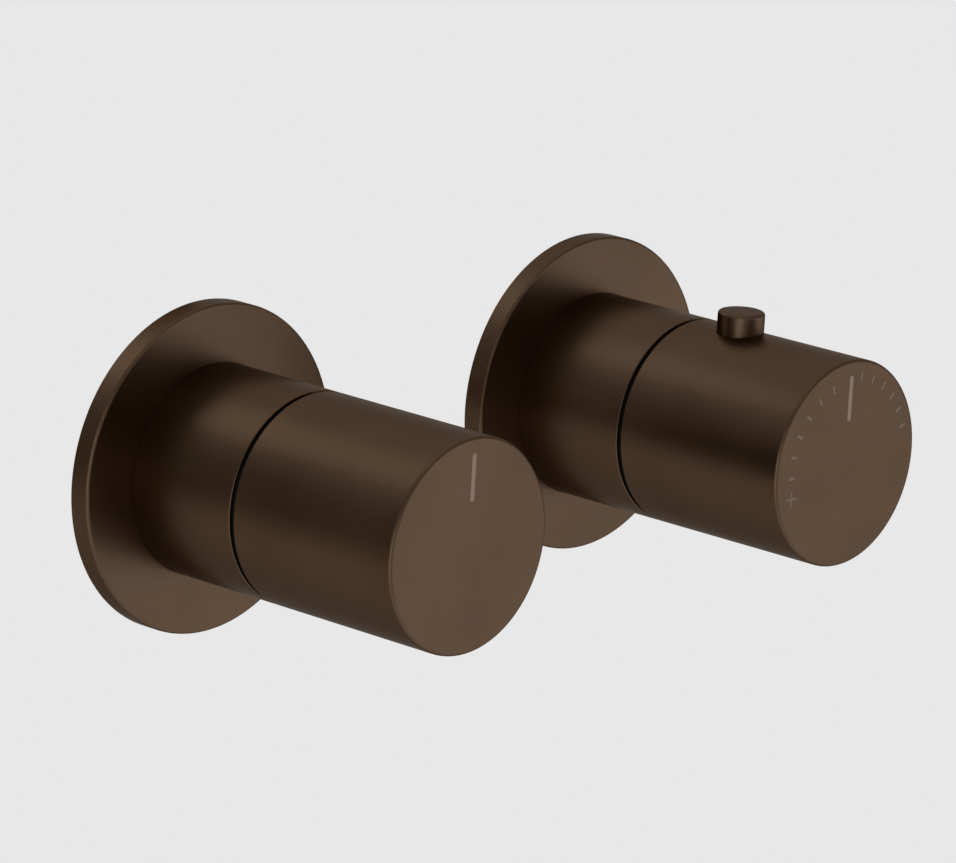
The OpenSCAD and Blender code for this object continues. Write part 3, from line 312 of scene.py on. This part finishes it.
def satin_bronze(name, axis_x):
    """Coated metal turned about the control axis at axis_x, in metres."""
    material, tree, shader, where = new_material(name, 1.0)
    centred = node_of(tree, "ShaderNodeVectorMath", operation="SUBTRACT")
    centred.inputs[1].default_value = (axis_x, 0, 0)
    join(tree, where, centred.inputs[0])
    split = tree.nodes.new("ShaderNodeSeparateXYZ")
    join(tree, centred.outputs["Vector"], split.inputs[0])
    flat = tree.nodes.new("ShaderNodeCombineXYZ")
    join(tree, split.outputs["X"], flat.inputs["X"])
    join(tree, split.outputs["Z"], flat.inputs["Y"])
    radius = node_of(tree, "ShaderNodeVectorMath", operation="LENGTH")
    join(tree, flat.outputs[0], radius.inputs[0])
    # Lathe rings: noise over distance along the axis and from it, the same all the way round
    ring_place = tree.nodes.new("ShaderNodeCombineXYZ")
    join(tree, radius.outputs["Value"], ring_place.inputs["X"])
    join(tree, split.outputs["Y"], ring_place.inputs["Y"])
    rings = noise(tree, ring_place.outputs[0], 5200.0, 2.0)
    grain = noise(tree, where, 2600.0, 3.0, 0.65)
    cloud = noise(tree, where, 38.0, 3.0)
    join(tree, blend(tree, spread(tree, cloud, 0.0, 1.0), bronze_deep, bronze_tone),
         shader.inputs["Base Color"])
    gloss = node_of(tree, "ShaderNodeMath", operation="ADD")
    join(tree, spread(tree, cloud, 0.31, 0.36), gloss.inputs[0])
    join(tree, spread(tree, grain, -0.03, 0.03), gloss.inputs[1])
    join(tree, gloss.outputs[0], shader.inputs["Roughness"])
    both = node_of(tree, "ShaderNodeMath", operation="MULTIPLY_ADD")
    join(tree, rings, both.inputs[0])
    both.inputs[1].default_value = 0.35
    join(tree, grain, both.inputs[2])
    bump(tree, shader, both.outputs[0], 0.004 * MM, 0.6)
    shader.inputs["Specular Tint"].default_value = (0.60, 0.56, 0.55, 1)
    return material


def dress(material, *nodes):
    """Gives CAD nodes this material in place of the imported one."""
    for name in nodes:
        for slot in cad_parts[name].material_slots:
            slot.material = material


flow_axis_x = -58 * MM
temperature_axis_x = 58 * MM
dress(satin_bronze("bronze_flow", flow_axis_x), "flow_knob", "flow_sleeve", "flow_flange")
dress(satin_bronze("bronze_temperature", temperature_axis_x),
      "temperature_knob", "temperature_sleeve", "temperature_flange", "safety_button")


# The hubs and the button's plunger: black acetal, moulded. The rings in the running gaps are of the same
# plastic, turned matt, so that the gap reads as a plain dark line.
def moulded(name, tone, roughness, scale=900.0, shine=0.5):
    material, tree, shader, where = new_material(name, 0.0)
    shader.inputs["Specular IOR Level"].default_value = shine
    cloud = noise(tree, where, 120.0, 2.0)
    grain = noise(tree, where, scale, 2.0)
    darker = tuple(0.86 * c for c in tone)
    join(tree, blend(tree, spread(tree, cloud, 0.0, 1.0), darker, tone), shader.inputs["Base Color"])
    join(tree, spread(tree, grain, roughness - 0.05, roughness + 0.05), shader.inputs["Roughness"])
    bump(tree, shader, grain, 0.01 * MM, 0.5)
    return material


dress(moulded("black_acetal", (0.012, 0.012, 0.012), 0.55),
      "flow_hub", "temperature_hub", "button_plunger")
dress(moulded("matt_black_acetal", (0.005, 0.005, 0.005), 0.8, shine=0.1),
      "flow_glide_ring", "temperature_glide_ring")


# The marks on the knobs' faces: shallow engraved lines filled with a lighter bronze lacquer. Each is a
# low bar with round ends that stands a few hundredths of a millimetre proud of the face.
face_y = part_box("flow_knob")[0].y
mark_lift = 0.03 * MM
mark_sink = 0.02 * MM
index_width = 1.15 * MM
index_from = 9.3 * MM
index_to = 19.2 * MM


def lacquer(name, tone):
    """Lacquer in the marks' grooves, a little uneven in tone and gloss."""
    material, tree, shader, where = new_material(name, 0.25)
    grain = noise(tree, where, 3000.0, 2.0)
    darker = tuple(0.8 * c for c in tone)
    join(tree, blend(tree, spread(tree, grain, 0.0, 1.0), darker, tone), shader.inputs["Base Color"])
    join(tree, spread(tree, grain, 0.5, 0.62), shader.inputs["Roughness"])
    bump(tree, shader, grain, 0.01 * MM, 0.4)
    return material


def round_bar(mesh, centre, angle, length, width, depth_from, depth_to):
    """Adds a flat bar with round ends, whose length runs at the angle clockwise from straight up."""
    place = Matrix.Translation((centre[0], (depth_from + depth_to) / 2, centre[1]))
    turn = Matrix.Rotation(angle, 4, "Y")
    shape = Matrix.Diagonal((width, depth_to - depth_from, length, 1))
    corners = set(bmesh.ops.create_cube(mesh, size=1.0, matrix=place @ turn @ shape)["verts"])
    edges = [edge for edge in mesh.edges if set(edge.verts) <= corners]
    edges.sort(key=lambda edge: edge.calc_length())
    bmesh.ops.bevel(mesh, geom=edges[:4], offset=0.49 * width, offset_type="OFFSET", affect="EDGES",
                    segments=8, profile=0.5, material=-1)


def polar(axis_x, angle, radius):
    """The x and z of a point on a face, at the angle clockwise from straight up."""
    return axis_x + radius * math.sin(angle), radius * math.cos(angle)


def add_piece(name, mesh, material, body):
    """Makes the mesh an object at the origin that rides on the body."""
    bmesh.ops.recalc_face_normals(mesh, faces=mesh.faces[:])
    data = bpy.data.meshes.new(name)
    mesh.to_mesh(data)
    mesh.free()
    data.materials.append(material)
    piece = bpy.data.objects.new(name, data)
    bpy.context.scene.collection.objects.link(piece)
    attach(piece, body)


index_paint = lacquer("index_lacquer", (0.31, 0.215, 0.165))
front_of_mark = face_y - mark_lift
back_of_mark = face_y + mark_sink
index_length = index_to - index_from
index_middle = (index_from + index_to) / 2

for side, axis_x in (("flow", flow_axis_x), ("temperature", temperature_axis_x)):
    mesh = bmesh.new()
    round_bar(mesh, polar(axis_x, 0, index_middle), 0, index_length, index_width,
              front_of_mark, back_of_mark)
    add_piece(side + "_index", mesh, index_paint, side + "_control")


# The temperature scale: short ticks on both sides of the index and a plus sign at the hot end. They are
# printed in a fainter lacquer than the index, and turn with the knob.
scale_paint = lacquer("scale_lacquer", (0.20, 0.135, 0.10))
tick_width = 0.62 * MM
tick_length = 2.0 * MM
tick_count = 6
# Each side of the index: first angle and step in degrees clockwise, and the radius of the ticks' middles
scale_sides = [
    (-18.5, -14.8, 17.6 * MM),
    (10.0, 12.4, 18.9 * MM),
]
plus_angle = math.radians(-107)
plus_radius = 18.0 * MM
plus_size = 3.5 * MM
plus_width = 0.5 * MM
# One bar of the sign stands this much prouder, so that their faces don't lie in one plane
plus_lift = 0.005 * MM

mesh = bmesh.new()
for first, step, radius in scale_sides:
    for k in range(tick_count):
        angle = math.radians(first + k * step)
        round_bar(mesh, polar(temperature_axis_x, angle, radius), angle, tick_length, tick_width,
                  front_of_mark, back_of_mark)
add_piece("temperature_scale", mesh, scale_paint, "temperature_control")

mesh = bmesh.new()
centre = polar(temperature_axis_x, plus_angle, plus_radius)
round_bar(mesh, centre, 0, plus_size, plus_width, front_of_mark, back_of_mark)
round_bar(mesh, centre, math.pi / 2, plus_size, plus_width, front_of_mark - plus_lift, back_of_mark)
add_piece("hot_sign", mesh, scale_paint, "temperature_control")


# The body: one brass casting with both housings, the cross tube and the bosses. It is blasted after
# casting, and keeps the dull, slightly grainy skin of the sand wherever no tool has cut.
def cast_brass():
    material, tree, shader, where = new_material("cast_brass", 1.0)
    cloud = noise(tree, where, 55.0, 4.0)
    sand = noise(tree, where, 1100.0, 3.0, 0.7)
    join(tree, blend(tree, spread(tree, cloud, 0.0, 1.0), (0.42, 0.29, 0.13), (0.60, 0.44, 0.21)),
         shader.inputs["Base Color"])
    join(tree, spread(tree, sand, 0.42, 0.60), shader.inputs["Roughness"])
    bump(tree, shader, sand, 0.08 * MM, 0.7)
    return material


dress(cast_brass(), "valve_body")


# Turned brass: headwork, stems, extension and the cartridge's metal parts. They come off the lathe with
# fine rings and keep a brighter, yellower shine than the casting.
def turned_brass():
    material, tree, shader, where = new_material("turned_brass", 1.0)
    stretched = node_of(tree, "ShaderNodeMapping")
    stretched.inputs["Scale"].default_value = (40.0, 4200.0, 40.0)
    join(tree, where, stretched.inputs["Vector"])
    lines = noise(tree, stretched.outputs["Vector"], 1.0, 2.0)
    cloud = noise(tree, where, 70.0, 2.0)
    join(tree, blend(tree, spread(tree, cloud, 0.0, 1.0), (0.58, 0.42, 0.18), (0.70, 0.53, 0.25)),
         shader.inputs["Base Color"])
    join(tree, spread(tree, lines, 0.20, 0.32), shader.inputs["Roughness"])
    bump(tree, shader, lines, 0.006 * MM, 0.6)
    return material


dress(turned_brass(), "flow_headwork", "flow_spindle", "flow_extension", "cartridge_sleeve",
      "cartridge_head", "cartridge_nut", "thermostat_spindle")


# The bracket: steel sheet with a zinc coating, pale and faintly spangled. It is punched and folded, and
# screwed to the back of the body.
def zinc_sheet():
    material, tree, shader, where = new_material("zinc_sheet", 1.0)
    flakes = node_of(tree, "ShaderNodeTexVoronoi", Scale=260.0)
    join(tree, where, flakes.inputs["Vector"])
    grain = noise(tree, where, 1500.0, 2.0)
    join(tree, blend(tree, flakes.outputs["Distance"], (0.50, 0.52, 0.54), (0.60, 0.62, 0.63)),
         shader.inputs["Base Color"])
    join(tree, spread(tree, grain, 0.34, 0.46), shader.inputs["Roughness"])
    bump(tree, shader, grain, 0.01 * MM, 0.5)
    return material


dress(zinc_sheet(), "mounting_bracket")


# Screws, strainers, springs and the stop ring's clip: stainless steel, turned, pressed or wound. They are
# bought in and fitted bright, so they share one finish.
def stainless():
    material, tree, shader, where = new_material("stainless", 1.0)
    grain = noise(tree, where, 2200.0, 3.0)
    join(tree, blend(tree, spread(tree, grain, 0.0, 1.0), (0.50, 0.50, 0.49), (0.62, 0.61, 0.59)),
         shader.inputs["Base Color"])
    join(tree, spread(tree, grain, 0.22, 0.34), shader.inputs["Roughness"])
    bump(tree, shader, grain, 0.006 * MM, 0.5)
    return material


dress(stainless(), "bracket_screws", "hot_filter", "cold_filter", "hot_check_spring", "cold_check_spring",
      "extension_screw", "flow_hub_screw", "flow_grub_screw", "temperature_hub_screw",
      "temperature_grub_screw", "overload_spring", "return_spring", "button_spring", "stop_ring_clip")


# The springs behind the button and the check poppets: wound stainless wire. Each is copied, with its coils as
# they are, onto the body that it rides on.
def pressed_spring(node, body):
    """A copy of the node's coils on the body, with its own mesh; the node itself is hidden."""
    coils = bpy.data.objects.new(node + "_coils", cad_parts[node].data.copy())
    bpy.context.scene.collection.objects.link(coils)
    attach(coils, body)
    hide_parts(node)
    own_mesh(coils)


pressed_spring("hot_check_spring", "valve")
pressed_spring("cold_check_spring", "valve")
pressed_spring("button_spring", "temperature_control")

# Gaskets, rings and washers: black moulded rubber, softer in its shine than the plastics. The rings sit
# in turned grooves, and the gaskets in the recess behind each flange.
dress(moulded("black_rubber", (0.018, 0.018, 0.019), 0.72, 1400.0),
      "flow_wall_gasket", "temperature_wall_gasket", "flow_sleeve_seals", "temperature_sleeve_seals",
      "headwork_washer", "seat_seal", "flow_spindle_seals", "thermostat_spindle_seals",
      "cartridge_seals", "shuttle_seal", "check_valve_seals")

# Plastic parts of the cartridge and the check valves: acetal and nylon, injection moulded, each kind in
# its own colour so that a fitter can tell the pieces apart. The stop ring is red, as such rings are.
dress(moulded("natural_acetal", (0.72, 0.72, 0.68), 0.42), "regulating_nut", "overload_cap",
      "mixing_shuttle", "hot_check_poppet", "cold_check_poppet")
dress(moulded("grey_nylon", (0.12, 0.125, 0.13), 0.5), "hot_check_cage", "cold_check_cage")
dress(moulded("red_acetal", (0.42, 0.03, 0.025), 0.42), "stop_ring")

# The shut-off's two discs: sintered alumina, lapped flat so that they seal on each other. The wax element:
# a drawn copper bulb, a little tarnished by hot water.
dress(moulded("alumina", (0.80, 0.79, 0.74), 0.2, 3000.0), "fixed_ceramic_disc", "moving_ceramic_disc")


def copper():
    material, tree, shader, where = new_material("copper_bulb", 1.0)
    cloud = noise(tree, where, 160.0, 3.0)
    join(tree, blend(tree, spread(tree, cloud, 0.0, 1.0), (0.52, 0.22, 0.12), (0.72, 0.36, 0.22)),
         shader.inputs["Base Color"])
    join(tree, spread(tree, cloud, 0.22, 0.40), shader.inputs["Roughness"])
    bump(tree, shader, cloud, 0.02 * MM, 0.4)
    return material


dress(copper(), "wax_element")
